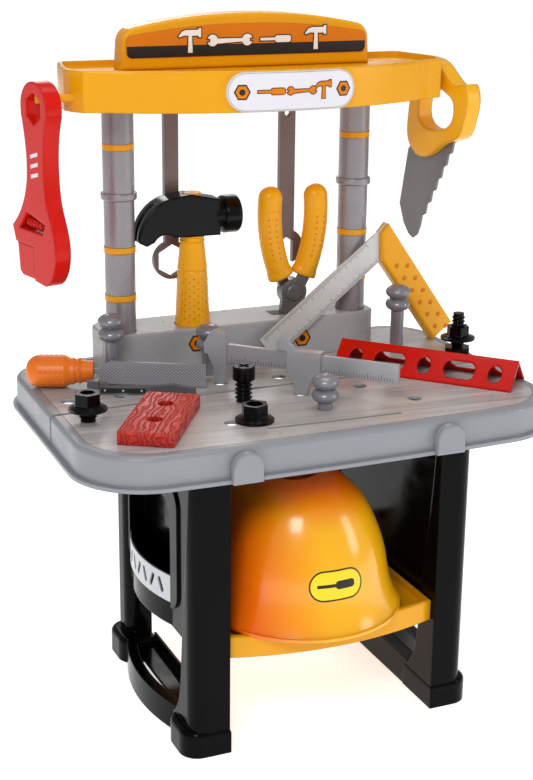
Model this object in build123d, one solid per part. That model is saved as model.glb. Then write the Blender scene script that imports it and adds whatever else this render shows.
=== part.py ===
from build123d import *
import os
from math import cos, radians, sin, sqrt

# A child's plastic tool bench: two legs with side pockets, a shelf with a hard hat, a pegboard
# tabletop, a tool rack at the back, and two posts that carry a crescent beam and a sign.
# X runs left to right, -Y is the front, Z is up, and the feet stand on Z = 0.

# ---- driving dimensions, in millimetres
GAP = 0.3                    # clearance between pieces that can move apart
TABLE_Z = 334.0              # working surface
TABLE_HALF_FRONT = 257.0
TABLE_HALF_REAR = 250.0
TABLE_FRONT_Y = -165.0
TABLE_REAR_Y = 178.0
TABLE_DEPTH = 34.0           # height of the skirt
WALL = 3.0
FLANGE = 4.5                 # lip at the foot of the skirt
LABEL = 0.8                  # printed sheet let into the working surface

POST_X = 137.5
POST_Y = 116.0
POST_R = 16.2
POST_BORE = 12.6
RING_R = 16.9
JOINT_Z = 521.0              # where the upper posts meet the lower ones
RING_HEIGHTS = (416.0, 468.0)
TOP_RING_Z = 577.0
RACK_TOP = 378.0
RACK_HALF = 161.0
RACK_FRONT_Y = 94.0
RACK_REAR_Y = 158.0

BEAM_BOTTOM = 621.0
BEAM_TOP = 662.0
BEAM_CENTRE_X = 7.0
BEAM_CORNER = (180.5, 46.0)  # the outline's points count from the beam's centre
BEAM_END = [(200, 52), (209, 66), (212, 78), (208, 105)]
BEAM_REAR_CORNER = (198.0, 150.0)
BEAM_FRONT_Y = 1.0
BEAM_FLOOR = 656.0           # floor of the tray in the beam's top
SIGN_Y = (92.0, 114.0)
PLAQUE_SIZE = (140.0, 39.0)

LEG_INNER_X = 115.5
LEG_OUTER_X = 155.5
LEG_FRONT_Y = -143.5
LEG_REAR_Y = 131.5
REAR_LEG_OUTER_X = 144.0
REAR_LEG_DEPTH = 39.5
FOOT_HEIGHT = 28.0
FOOT_DEPTH = 60.0
SILL_Z = 32.0                # wall along the floor between the feet
LEG_TOP = TABLE_Z - WALL - LABEL - GAP
SHELF_TOP = 124.5
SHELF_BOTTOM = 101.5

POCKET_X = 139.0             # outer face of the pocket's frame
POCKET_BULGE = 12.0
POCKET_FRONT_Y = -42.0
POCKET_REAR_Y = 87.0
POCKET_LIP_Z = 156.0
POCKET_FLOOR_Z = 103.0
WINDOW_TOP = 238.0
BAND_HEIGHT = 30.0
BACK_X = 118.0               # the pocket's back wall, towards the shelf
ARCH_TOP = 98.0

HAT_CENTRE = (-10.0, -79.0)
HAT_BRIM = (104.0, 107.0)    # half widths of the brim
HAT_WALL = 3.0
HAT_LENGTH = 72.0            # straight run between the front and the rear half domes
HAT_VENT = (-18.0, -82.0, 24.0)
HAT_OUTLINE = [(0, 148.2), (20.5, 146.8), (37.8, 139.6), (48.9, 129.9), (60.6, 117.9), (74.7, 93.7),
               (86.1, 62.5), (91.1, 36.6), (96.5, 17.2), (103.0, 3.2)]

HOLE_R = 7.7                 # every hole in the working surface
PEG_R = 7.4
BEAD_R = 14.0

HOOK_LEFT = (66.0, 634.8, 4.5)     # the hooks at the beam's ends: y, z, radius
HOOK_RIGHT = (94.0, 627.0, 4.2)
HOOK_TIPS = (237.0, 247.0)   # how far the left and the right hook reach

# ---- places on the working surface: x, y
LEFT_PEG = (-162.0, 76.0)
MIDDLE_PEG = (-55.5, 66.0)
RIGHT_PEG = (175.0, 70.0)
FRONT_PEG = (9.0, -89.0)
FLANGED_BOLT = (-223.0, -36.0)
CROSS_SCREW = (-57.5, -35.5)
FLANGE_NUT = (-71.5, -97.0)
STOOD_BOLT = (238.0, 41.0)
FREE_HOLES = [(10, 28), (76.5, -33), (-95, -95), (110, -92), (-168, 28), (-224, 29)]
CALLIPER_AT = (-56.5, 31.0)
CALLIPER_TURN = -45.6
CALLIPER_REACH = 92.0        # from the fixed jaw to the sliding jaw
CROSS_GROOVE = [(-262, -9.5), (-205, -7), (-150, -3), (-90, 0), (262, 0)]
FRONT_GROOVE = [(-67, -123), (8, -126.6), (73, -128.6)]
GROOVE_WIDTH = 5.0

# ---- tools: hammer, pliers, spanners, square, file, blade holder, plank, strip, wrench, saw
HAMMER_AT = (-55.0, 117.0)
HAMMER_SOCKET_R = 20.0
HAMMER_FOOT = TABLE_Z + 6 + GAP

PLIERS_AT = (67.6, 124.0)    # the pivot
PLIERS_Z = 401.6
GRIP_R = 11.9
GRIP_HALF_WIDTH = 13.6
PIN_R = 3.5
PLIERS_SLOT_X = (40.0, 95.0)
PLIERS_SLOT_Y = (114.0, 134.0)

LEFT_SPANNER = (-71.0, 139.9)
RIGHT_SPANNER = (66.0, 140.3)
SPANNER_THICK = 7.0
HANG_R = 15.0                # the upper head, too wide for the slot it hangs in

SQUARE_AT = (20.0, 83.0)
SQUARE_TURN = 4.7
SQUARE_CORNER = (152.5, 478.2)
SQUARE_SLOPE = -54.0         # the stock's direction, the blade is square to it

FILE_END = (-250.0, 92.0)
FILE_TURN = -21.5
FILE_Z = TABLE_Z + 17.6

HOLDER_AT = (-198.0, 46.0)
HOLDER_TURN = -24.0

PLANK_CENTRE = (-162.0, -74.0)
PLANK_TURN = 57.7
PLANK_SIZE = (128.0, 56.0, 13.0)

STRIP_AT = (98.0, 54.0)
STRIP_TURN = -47.9
STRIP_LENGTH = 201.0
STRIP_HEIGHT = 27.5
STRIP_SPREAD = 28.0

HANG_TURN = -77.0
WRENCH_AT = (-241.0, 66.0)
WRENCH_THICK = 17.5
RAIL_THICK = 8.0
JAW_RAIL = (487.0, 501.0)
WORM_AT = (-9.5, 509.0)
WORM_PIN_R = 1.7

SAW_AT = (226.0, 66.0)
SAW_THICK = 20.0

os.makedirs("parts", exist_ok=True)


def save(name, shape):
    export_step(shape, f"parts/{name}.step")


def block(x0, x1, y0, y1, z0, z1):
    return Pos((x0 + x1) / 2, (y0 + y1) / 2, (z0 + z1) / 2) * Box(x1 - x0, y1 - y0, z1 - z0)


def rod(x, y, z0, z1, radius):
    return Pos(x, y, (z0 + z1) / 2) * Cylinder(radius, z1 - z0)


def cross_rod(x0, x1, y, z, radius):
    return Pos((x0 + x1) / 2, y, z) * Rot(0, 90, 0) * Cylinder(radius, x1 - x0)


def upright(x, y, turn):
    """A vertical plane through (x, y): local x runs level at the angle turn, local y is up."""
    a = radians(turn)
    return Plane(origin=(x, y, 0), x_dir=(cos(a), sin(a), 0), z_dir=(sin(a), -cos(a), 0))


def slab(face, thickness, plane=Plane.XY, start=0.0):
    """The face drawn in the plane, from start to start + thickness along the plane's normal."""
    return plane.location * (Pos(0, 0, start) * extrude(face, thickness, dir=(0, 0, 1)))


def outline(*points):
    return make_face(Polyline(*points, close=True))


def largest(shape):
    return shape.solids().sort_by(SortBy.VOLUME)[-1]


def mirrored(shape):
    return mirror(shape, about=Plane.YZ)


def hexagon(across_flats):
    return RegularPolygon(across_flats / sqrt(3), 6)


# ---- tabletop
def table_outline(grow=0.0):
    front = TABLE_FRONT_Y - grow
    rear = TABLE_REAR_Y + grow
    xf = TABLE_HALF_FRONT + grow
    xr = TABLE_HALF_REAR + grow
    edge = make_face(
        ThreePointArc((-xf, front + 8), (0, front), (xf, front + 8))
        + Polyline((xf, front + 8), (xr, rear), (-xr, rear), (-xf, front + 8))
    )
    edge = fillet(edge.vertices().filter_by(lambda v: v.Y < 0), 72 + grow)
    return fillet(edge.vertices().filter_by(lambda v: v.Y > 100), 54 + grow)


def tabletop():
    bottom = TABLE_Z - TABLE_DEPTH
    shell = Pos(0, 0, bottom) * extrude(table_outline(), TABLE_DEPTH)
    rim = shell.faces().sort_by(Axis.Z)[-1].edges()
    shell = fillet(rim, 5.0)
    lip = Pos(0, 0, bottom) * extrude(table_outline(FLANGE), 4.0)
    shell += lip
    hollow = Pos(0, 0, bottom - 1) * extrude(table_outline(-WALL), TABLE_DEPTH + 1 - WALL - LABEL)
    shell -= hollow
    shell -= Pos(0, 0, TABLE_Z - LABEL) * extrude(table_outline(-12), 2)
    for x, y in table_holes():
        shell -= rod(x, y, TABLE_Z - 12, TABLE_Z + 5, HOLE_R)
    shell -= groove(CROSS_GROOVE, TABLE_Z - LABEL - 1)
    seam_x, seam_y = CROSS_GROOVE[0]
    shell -= block(seam_x, -TABLE_HALF_REAR - 2.2, seam_y - 2.2, seam_y + 2.2, bottom + 4, TABLE_Z + 1)
    return shell - groove(FRONT_GROOVE, TABLE_Z - LABEL - 1)


def table_holes():
    a = radians(CALLIPER_TURN)
    far = (CALLIPER_AT[0] + CALLIPER_REACH * cos(a), CALLIPER_AT[1] + CALLIPER_REACH * sin(a))
    pegs = [LEFT_PEG, MIDDLE_PEG, RIGHT_PEG, FRONT_PEG, FLANGED_BOLT, CROSS_SCREW]
    return FREE_HOLES + pegs + [CALLIPER_AT, far]


def groove(points, z0):
    """A round-ended channel along the points, from z0 up through the working surface."""
    cut = None
    for (x0, y0), (x1, y1) in zip(points, points[1:]):
        run = Vector(x1 - x0, y1 - y0)
        stroke = extrude(SlotCenterToCenter(run.length, GROOVE_WIDTH), 10)
        turn = run.get_signed_angle(Vector(1, 0, 0), Vector(0, 0, -1))
        stroke = Pos((x0 + x1) / 2, (y0 + y1) / 2, z0) * Rot(0, 0, turn) * stroke
        cut = stroke if cut is None else cut + stroke
    return cut


def table_labels():
    """The printed sheet, in a front and a rear part with the cross groove between them."""
    sheet = Pos(0, 0, TABLE_Z - LABEL) * extrude(table_outline(-12.3), LABEL)
    sheet -= block(-RACK_HALF - 4, RACK_HALF + 4, RACK_FRONT_Y - 4, 200, 300, 400)
    for x, y in table_holes():
        sheet -= rod(x, y, TABLE_Z - 12, TABLE_Z + 5, HOLE_R)
    sheet -= groove(CROSS_GROOVE, TABLE_Z - 2)
    sheet -= groove(FRONT_GROOVE, TABLE_Z - 2)
    front, rear = sheet.solids().sort_by(Axis.Y)
    return front, rear


def table_clip(x):
    """A round-topped tab on the skirt's front that locks the leg frame to the tabletop."""
    width, low, high = 31.0, TABLE_Z - TABLE_DEPTH, TABLE_Z - 3.5
    face = outline((-width / 2, low), (width / 2, low), (width / 2, high), (-width / 2, high))
    face = fillet(face.vertices().filter_by(lambda v: v.Y > high - 1), width / 2 - 0.5)
    front = TABLE_FRONT_Y + 8 * (x / TABLE_HALF_FRONT) ** 2
    tab = slab(face, 10, upright(x, front - 0.5, 0))
    tab -= Pos(0, 0, low - 1) * extrude(table_outline(FLANGE), 5.0)
    tab -= Pos(0, 0, low - 1) * extrude(table_outline(), 60)
    outer = tab.faces().sort_by(Axis.Y)[0].edges()
    return fillet(outer, 2.5)


# ---- legs, shelf and side pockets (the left side; the right side is its mirror image)
def bowed_strip(x_outer, x_inner, bulge, z0, z1, y0=POCKET_FRONT_Y, y1=POCKET_REAR_Y):
    """A vertical strip on the left side that bows outwards between y0 and y1."""
    mid = (y0 + y1) / 2
    face = make_face(
        ThreePointArc((-x_outer, y0), (-x_outer - bulge, mid), (-x_outer, y1))
        + Line((-x_outer, y1), (-x_inner, y1))
        + ThreePointArc((-x_inner, y1), (-x_inner - bulge, mid), (-x_inner, y0))
        + Line((-x_inner, y0), (-x_outer, y0))
    )
    return Pos(0, 0, z0) * extrude(face, z1 - z0)


def front_leg():
    """The front post: its rear edge sweeps forward on the way up."""
    front, foot_end = LEG_FRONT_Y, LEG_FRONT_Y + FOOT_DEPTH - 2
    sweep_up = Spline((foot_end, 26), (-98, 39), (-109, 77), (-116, 145), (-124.5, 212), (-132, LEG_TOP))
    face = make_face(
        sweep_up + Polyline((-132, LEG_TOP), (front, LEG_TOP), (front, 12), (foot_end, 12), (foot_end, 26)))
    post = Pos(-LEG_OUTER_X, 0, 0) * extrude(Plane.YZ * face, LEG_OUTER_X - LEG_INNER_X)
    corner = post.edges().filter_by(Axis.Z).group_by(Axis.X)[0].sort_by(Axis.Y)[0]
    return fillet(corner, 17)


def rear_leg():
    start = LEG_REAR_Y - REAR_LEG_DEPTH
    post = block(-REAR_LEG_OUTER_X, -LEG_INNER_X, start, LEG_REAR_Y, 20, LEG_TOP)
    return fillet(post.edges().filter_by(Axis.Z).group_by(Axis.X)[0], 14)


def foot(outer, y0, y1):
    pad = block(-outer, -LEG_INNER_X + 1, y0, y1, 0, FOOT_HEIGHT)
    pad = fillet(pad.edges().filter_by(Axis.Z).group_by(Axis.X)[0], 20)
    return fillet(pad.faces().sort_by(Axis.Z)[-1].edges(), 6)


def feet_and_sill():
    """The two feet, the bowed rail between them, a tray inside it and a wall along the inner side."""
    y0, y1 = LEG_FRONT_Y + FOOT_DEPTH - 6, LEG_REAR_Y - FOOT_DEPTH + 6
    base = foot(LEG_OUTER_X + 8, LEG_FRONT_Y - 1.5, LEG_FRONT_Y + FOOT_DEPTH)
    base += foot(REAR_LEG_OUTER_X + 12, LEG_REAR_Y - FOOT_DEPTH, LEG_REAR_Y + 1.5)
    base += bowed_strip(150, 138, 15, 0, 30, y0, y1)
    base += bowed_strip(149, 139, 15, 16, 20, y0, y1)
    base += block(-142, -LEG_INNER_X, y0, y1, 16, 20)
    return base + block(-BACK_X, -LEG_INNER_X, y0, y1, 0, SILL_Z)


def pocket_window():
    window = block(-200, -POCKET_X + 10, POCKET_FRONT_Y, POCKET_REAR_Y, POCKET_FLOOR_Z + 3, WINDOW_TOP)
    return fillet(window.edges().filter_by(Axis.X), 16)


def side_panel():
    y0, y1 = LEG_FRONT_Y + 10, LEG_REAR_Y - REAR_LEG_DEPTH + 2
    panel = front_leg() + rear_leg() + feet_and_sill()
    panel += block(-BACK_X - 3, -BACK_X, y0, y1, ARCH_TOP, LEG_TOP)
    frame = block(-POCKET_X, -BACK_X, y0, y1, ARCH_TOP, LEG_TOP)
    frame -= block(-POCKET_X + 4, -BACK_X, y0 + 1, y1 - 1, ARCH_TOP - 1, LEG_TOP - 4)
    bead = block(-POCKET_X - 2.5, -POCKET_X + 1, POCKET_FRONT_Y - 20, POCKET_REAR_Y + 5,
                 POCKET_LIP_Z - 36, WINDOW_TOP + 18)
    frame += fillet(bead.edges().filter_by(Axis.X), 22)
    panel += frame - pocket_window()
    bin_wall = bowed_strip(POCKET_X, POCKET_X - 3, POCKET_BULGE, ARCH_TOP + 1, POCKET_LIP_Z - 2)
    floor = bowed_strip(POCKET_X, BACK_X + 1, POCKET_BULGE, ARCH_TOP + 1, POCKET_FLOOR_Z)
    floor += block(-POCKET_X, -BACK_X, y0, y1, ARCH_TOP, POCKET_FLOOR_Z)
    panel += bin_wall + floor
    return panel + block(-BACK_X - 1, -LEG_INNER_X + 1.5, -110, 70, SHELF_BOTTOM - 5, SHELF_BOTTOM - GAP)


def fret_band():
    """The pierced silver band round the pocket's lip: slanted slots between two solid rails."""
    low, high = POCKET_LIP_Z - BAND_HEIGHT, POCKET_LIP_Z
    band = bowed_strip(POCKET_X + 2.2, POCKET_X + GAP, POCKET_BULGE, low, high)
    count = 7
    pitch = (POCKET_REAR_Y - POCKET_FRONT_Y - 16) / count
    for i in range(count):
        y = POCKET_FRONT_Y + 8 + pitch * (i + 0.5)
        slot = Pos(-170, y, (low + high) / 2) * Rot(24 if i % 2 else -24, 0, 0) * Box(60, 5.5, BAND_HEIGHT - 13)
        band -= fillet(slot.edges().filter_by(Axis.X), 2.6)
    return band


def shelf():
    half, corner, mid, rear = LEG_INNER_X - GAP, -135.5, -154.0, 112.0
    face = make_face(
        ThreePointArc((-half, corner), (0, mid), (half, corner))
        + Polyline((half, corner), (half, rear), (-half, rear), (-half, corner))
    )
    tray = Pos(0, 0, SHELF_BOTTOM) * extrude(face, SHELF_TOP - SHELF_BOTTOM)
    tray = fillet(tray.faces().sort_by(Axis.Z)[-1].edges(), 2.5)
    tray -= Pos(0, 0, SHELF_TOP - 7) * extrude(offset(face, -6), 20)
    tray -= Pos(0, 0, SHELF_BOTTOM - 1) * extrude(offset(face, -3), SHELF_TOP - 7 - SHELF_BOTTOM - 2)
    return tray


def hat_section():
    """Half of the wall, from the crown out to the brim, in the upright plane through the axis."""
    inner = [(max(r - HAT_WALL, 0), z - 0.6 * HAT_WALL) for r, z in HAT_OUTLINE[1:-1]]
    crown = (0, HAT_OUTLINE[0][1] - HAT_WALL)
    foot = HAT_OUTLINE[-1][0] - 1
    return make_face(
        Spline(*HAT_OUTLINE)
        + Polyline(HAT_OUTLINE[-1], (foot, 0), (foot - 7, 0), inner[-1])
        + Spline(*reversed(inner), crown)
        + Line(crown, HAT_OUTLINE[0]))


def long_oval(rx, ry, height):
    """Two half ellipses with the hat's straight run between them."""
    end = extrude(Ellipse(rx, ry), height)
    return end + Pos(0, HAT_LENGTH) * end + block(-rx, rx, 0, HAT_LENGTH, 0, height)


def hard_hat():
    """A shell longer than it is wide, with a vent in the crown, on an oval brim."""
    wall = Plane.XZ * hat_section()
    dome = revolve(wall, Axis.Z)
    half = block(-200, 200, -200, 0, -1, 200)
    shell = (dome & half) + Pos(0, HAT_LENGTH, 0) * (dome - half)
    run = extrude(wall, HAT_LENGTH, dir=(0, 1, 0))
    shell += run + mirrored(run)
    foot = HAT_OUTLINE[-1][0] - 8
    brim = long_oval(*HAT_BRIM, 3.2) - long_oval(foot, foot, 3.2)
    x, y, radius = HAT_VENT
    hat = Pos(*HAT_CENTRE, SHELF_TOP + GAP) * (shell + brim)
    return hat - rod(x, y, SHELF_TOP + 100, SHELF_TOP + 200, radius)


# ---- rack and posts
def rack():
    face = outline(
        (-RACK_HALF, RACK_FRONT_Y + 2), (-100, RACK_FRONT_Y), (100, RACK_FRONT_Y),
        (RACK_HALF, RACK_FRONT_Y + 2), (RACK_HALF, RACK_REAR_Y), (-RACK_HALF, RACK_REAR_Y))
    face = fillet(face.vertices().filter_by(lambda v: abs(v.X) > 150), 14)
    body = Pos(0, 0, TABLE_Z - LABEL) * extrude(face, RACK_TOP - TABLE_Z + LABEL)
    body = fillet(body.faces().sort_by(Axis.Z)[-1].edges(), 2.5)
    cavity = Pos(0, 0, TABLE_Z - 2) * extrude(offset(face, -WALL), RACK_TOP - TABLE_Z + 2 - WALL)
    for side in (-1, 1):
        cavity -= rod(side * POST_X, POST_Y, TABLE_Z - 3, RACK_TOP, POST_R + 3.5)
    cavity -= rod(*HAMMER_AT, TABLE_Z - 3, RACK_TOP, HAMMER_SOCKET_R + WALL)
    (x0, x1), (y0, y1) = PLIERS_SLOT_X, PLIERS_SLOT_Y
    cavity -= block(x0 - WALL, x1 + WALL, y0 - WALL, y1 + WALL, TABLE_Z - 3, RACK_TOP)
    body -= cavity
    for side in (-1, 1):
        body -= rod(side * POST_X, POST_Y, TABLE_Z - 1, RACK_TOP + 1, POST_R + 0.5)
    body -= rod(*HAMMER_AT, TABLE_Z + 6, RACK_TOP + 1, HAMMER_SOCKET_R)
    return body - block(x0, x1, y0, y1, TABLE_Z + 3, RACK_TOP + 1)


def post_lower(side):
    tube = rod(side * POST_X, POST_Y, TABLE_Z + GAP, JOINT_Z, POST_R)
    for z in RING_HEIGHTS:
        tube -= ring_cut(side, z, POST_R - 1.2)
    return tube - rod(side * POST_X, POST_Y, TABLE_Z + 4, JOINT_Z + 1, POST_BORE)


def ring_cut(side, z, inner, height=7.0):
    ring = rod(side * POST_X, POST_Y, z - height / 2, z + height / 2, RING_R + 4)
    return ring - rod(side * POST_X, POST_Y, z - height, z + height, inner)


def post_upper(side):
    tube = rod(side * POST_X, POST_Y, JOINT_Z + 0.1, BEAM_FLOOR - 3 - GAP, POST_R + 0.4)
    tube -= ring_cut(side, TOP_RING_Z, POST_R - 1.2)
    collar = rod(side * POST_X, POST_Y, JOINT_Z + 0.1, JOINT_Z + 8, POST_R + 3)
    tube += fillet(collar.edges(), 2)
    return tube - rod(side * POST_X, POST_Y, JOINT_Z - 1, BEAM_FLOOR - 8, POST_BORE)


def post_rings(side):
    rings = []
    for z in [*RING_HEIGHTS, TOP_RING_Z]:
        ring = rod(side * POST_X, POST_Y, z - 3.4, z + 3.4, RING_R)
        ring -= rod(side * POST_X, POST_Y, z - 9, z + 9, POST_R - 1.1)
        rings.append(ring)
    return Compound(children=rings)


# ---- beam, sign and plaque
def beam_face(grow=0.0):
    """The crescent outline, seen from above."""
    right = [BEAM_CORNER, *BEAM_END, BEAM_REAR_CORNER]
    left = [(-x, y) for x, y in reversed(right)]
    front = ThreePointArc(left[-1], (0, BEAM_FRONT_Y), right[0])
    face = make_face(front + Polyline(*right, *left))
    face = fillet(face.vertices().filter_by(lambda v: v.Y > 140), 12)
    return Pos(BEAM_CENTRE_X, 0) * (offset(face, grow) if grow else face)


def beam_hook(side, place):
    y, z, radius = place
    root = abs(BEAM_CENTRE_X + side * (BEAM_END[1][0] - 7))
    x0, x1 = sorted((side * root, side * HOOK_TIPS[side > 0]))
    return cross_rod(x0, x1, y, z, radius)


def beam():
    height = BEAM_TOP - BEAM_BOTTOM
    body = Pos(0, 0, BEAM_BOTTOM) * extrude(beam_face(), height)
    body = fillet(body.faces().sort_by(Axis.Z)[-1].edges(), 2.5)
    body -= Pos(0, 0, BEAM_FLOOR) * extrude(beam_face(-5), height)
    body -= Pos(0, 0, BEAM_BOTTOM - 1) * extrude(beam_face(-3), BEAM_FLOOR - BEAM_BOTTOM - 2)
    for side in (-1, 1):
        sleeve = rod(side * POST_X, POST_Y, BEAM_BOTTOM, BEAM_FLOOR - 1, POST_R + 3.5)
        body += sleeve - rod(side * POST_X, POST_Y, BEAM_BOTTOM - 1, BEAM_FLOOR - 3, POST_R + 0.9)
    for x, y in (LEFT_SPANNER, RIGHT_SPANNER):
        body -= block(x - 10.5, x + 10.5, y - 4.3, y + 4.3, BEAM_BOTTOM - 2, BEAM_FLOOR + 5)
    return body + beam_hook(-1, HOOK_LEFT) + beam_hook(1, HOOK_RIGHT)


def sign_face(inset=0.0):
    base, top, apex = BEAM_FLOOR + 0.1 + inset, 696.0 - inset, 711.5 - inset
    low, high = 141.0 - inset, 138.0 - inset
    face = make_face(
        Polyline((-high, top), (-low, base), (low, base), (high, top))
        + ThreePointArc((high, top), (0, apex), (-high, top))
    )
    return fillet(face.vertices().filter_by(lambda v: v.Y > 670), 16 - inset)


def sign_board():
    board = slab(sign_face(), SIGN_Y[1] - SIGN_Y[0], upright(0, SIGN_Y[1], 0))
    return fillet(board.faces().sort_by(Axis.Y)[0].edges(), 4)


def sign_label():
    """The printed plate let on to the sign's front."""
    face = make_face(
        Polyline((-135, 690), (-135, 668), (135, 668), (135, 690))
        + ThreePointArc((135, 690), (0, 701), (-135, 690)))
    face = fillet(face.vertices(), 7)
    return slab(face, 0.8, upright(0, SIGN_Y[0] - 0.05, 0))


def plaque():
    """A pill-shaped plate that follows the curve of the beam's front."""
    pill = slab(Pos(BEAM_CENTRE_X + 2, 641.4) * SlotOverall(*PLAQUE_SIZE), 40, upright(0, 25, 0))
    cover = Pos(0, 0, BEAM_BOTTOM) * extrude(beam_face(4), 60)
    return (pill & cover) - Pos(0, 0, BEAM_BOTTOM - 5) * extrude(beam_face(0.05), 60)


# ---- pegs
def peg(at, top):
    x, y = at
    shaft = rod(x, y, TABLE_Z - 24, top - 26, PEG_R)
    for z in (top - 8.5, top - 22.5):
        bead = Pos(x, y, z) * scale(Sphere(1), (BEAD_R, BEAD_R, 8.4))
        shaft += bead & rod(x, y, z - 8.2, z + 8.2, BEAD_R + 1)
    return shaft + rod(x, y, top - 26, top - 8, PEG_R)


# ---- loose hardware
def thread(x, y, z0, z1, core, crest, pitch=4.4):
    """Thick moulded ridges round a core, as toy screws have."""
    shank = rod(x, y, z0, z1, core)
    turns = int((z1 - z0 - pitch / 2) / pitch)
    for i in range(turns):
        z = z0 + pitch * (i + 0.75)
        ridge = Pos(x, y, z) * Cone(core, crest, 1.5) + Pos(x, y, z + 1.5) * Cone(crest, core, 1.5)
        shank += ridge
    return shank


def flanged_bolt():
    x, y = FLANGED_BOLT
    bolt = rod(x, y, TABLE_Z - 20, TABLE_Z + 2, PEG_R)
    bolt += thread(x, y, TABLE_Z + 0.5, TABLE_Z + 14, PEG_R - 0.5, 9.0)
    bolt += Pos(x, y, TABLE_Z + 14) * Cone(19.4, 14, 5) + Pos(x, y, TABLE_Z + 12.2) * Cylinder(19.4, 1.6)
    bolt += Pos(x, y, TABLE_Z + 15) * extrude(Rot(0, 0, 12) * hexagon(24), 14)
    return bolt - rod(x, y, TABLE_Z + 25, TABLE_Z + 40, 7)


def cross_screw():
    x, y = CROSS_SCREW
    screw = rod(x, y, TABLE_Z - 20, TABLE_Z + 2, PEG_R)
    screw += thread(x, y, TABLE_Z + 0.5, TABLE_Z + 26, PEG_R - 0.5, 9.0)
    head = rod(x, y, TABLE_Z + 24, TABLE_Z + 38, 11.5)
    head = fillet(head.edges().sort_by(Axis.Z)[-1:], 1.2)
    for turn in (20, 110):
        head -= Pos(x, y, TABLE_Z + 38) * Rot(0, 0, turn) * Box(14, 3.6, 9)
    return screw + head


def nut(x, y, z, bore, flange_r, across, height):
    body = rod(x, y, z, z + 2.2, flange_r)
    body += Pos(x, y, z + 3.6) * Cone(flange_r - 1, across / 2, 3.2)
    body += Pos(x, y, z + 2) * extrude(Rot(0, 0, 15) * hexagon(across), height - 2)
    return body - rod(x, y, z - 1, z + height + 1, bore)


def stood_bolt():
    x, y = STOOD_BOLT
    bolt = Pos(x, y, TABLE_Z + GAP / 2) * extrude(hexagon(27), 6.5)
    return bolt + thread(x, y, TABLE_Z + 6, TABLE_Z + 46, 6.2, 7.6)


# ---- hammer, standing in the rack
def hammer_handle():
    x, y = HAMMER_AT
    profile = make_face(Polyline(
        (0, HAMMER_FOOT), (18.6, HAMMER_FOOT), (19, 380), (16.4, 437), (15.8, 438.5), (16.4, 440),
        (12.4, 476.5), (9.6, 476.5), (9.6, 523), (0, 523), (0, HAMMER_FOOT)))
    return Pos(x, y, 0) * revolve(Plane.XZ * profile, Axis.Z)


def hammer_head():
    """Claw to the left, striking face to the right."""
    x, y = HAMMER_AT
    cheek = make_face(
        Polyline((28, 477), (28, 516), (-6, 523), (-20, 521))
        + ThreePointArc((-20, 521), (-52, 506), (-64, 474))
        + Polyline((-64, 474), (-56, 470), (-47, 474))
        + ThreePointArc((-47, 474), (-38, 481), (-25, 477.4))
        + Line((-25, 477.4), (28, 477)))
    body = slab(cheek, 26, upright(x, y + 13, 0))
    body -= block(x - 90, x - 24, y - 3.4, y + 3.4, 440, 513)
    poll = cross_rod(x + 25, x + 35, y, 497, 15) + cross_rod(x + 33, x + 52, y, 497, 20.5)
    poll = fillet(poll.edges().filter_by(GeomType.CIRCLE).filter_by(lambda e: e.radius > 20), 3)
    return body + poll - rod(x, y, 460, 540, 9.8)


# ---- pliers, handles up
def pliers_slab(face):
    """The face drawn round the pivot, as thick as one half, just in front of the pivot's plane."""
    return slab(Pos(PLIERS_AT[0], PLIERS_Z) * face, 7 - GAP / 2, upright(0, PLIERS_AT[1], 0), GAP / 2)


def pliers_arm():
    return pliers_slab(outline((2, 10), (13, 4), (25, 27), (14, 33)))


def pliers_half():
    """The right handle's arm and the left jaw."""
    jaw = outline((-0.6, 4), (-14, 0), (-16, -30), (-11, -50), (-0.6, -50))
    return pliers_slab(Circle(15.5)) + pliers_arm() + pliers_slab(jaw) - pliers_pin(PIN_R + 0.06)


def pliers_pin(radius):
    x, y = PLIERS_AT
    return Pos(x, y, PLIERS_Z) * Rot(90, 0, 0) * Cylinder(radius, 14 + 2 * GAP)


def pliers_pivot():
    """The rivet through both halves, with a domed head on each side."""
    x, y = PLIERS_AT
    rivet = pliers_pin(PIN_R)
    for side in (-1, 1):
        head = Pos(x, y + side * (7 + GAP + 1.4), PLIERS_Z) * Rot(90, 0, 0) * Cylinder(10, 2.8)
        rivet += fillet(head.edges().sort_by(Axis.Y)[-1 if side > 0 else 0], 2.4)
    return rivet


def pliers_grip():
    """The right handle: a bowed, round grip pushed over the arm."""
    x, y, z = PLIERS_AT[0], PLIERS_AT[1], PLIERS_Z
    path = ThreePointArc((x + 15, y, z + 22), (x + 26, y, z + 62), (x + 27.5, y, z + 107))
    section = Plane(origin=path @ 0, x_dir=(0, 1, 0), z_dir=path % 0) * Ellipse(GRIP_R, GRIP_HALF_WIDTH)
    grip = sweep(section, path=path)
    grip += Pos(*(path @ 1)) * scale(Sphere(1), (GRIP_HALF_WIDTH, GRIP_R, GRIP_HALF_WIDTH))
    grip -= Pos(x, y, z) * Rot(90, 0, 0) * Cylinder(17.5, 60)
    return grip - pliers_arm()


def half_turned(shape):
    """The pliers' other half is the same piece, turned half a turn about its upright axis."""
    x, y = PLIERS_AT
    return Pos(x, y, 0) * Rot(0, 0, 180) * Pos(-x, -y, 0) * shape


# ---- spanners hanging through the beam's floor
def spanner(at, half_width, low_z, low_r):
    """A shank between two heads; the lower head's centre is at low_z."""
    x, y = at
    face = outline((-half_width, low_z), (half_width, low_z), (half_width, BEAM_FLOOR + 10),
                   (-half_width, BEAM_FLOOR + 10))
    face += Pos(0, BEAM_FLOOR + GAP + 11) * Circle(HANG_R) + Pos(0, low_z) * Circle(low_r)
    bar = slab(face, SPANNER_THICK, upright(x, y + SPANNER_THICK / 2, 0))
    below = block(x - 40, x + 40, 100, 180, BEAM_FLOOR - 8, BEAM_FLOOR + GAP)
    return bar - (below - block(x - 9, x + 9, 100, 180, 600, 700))


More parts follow.
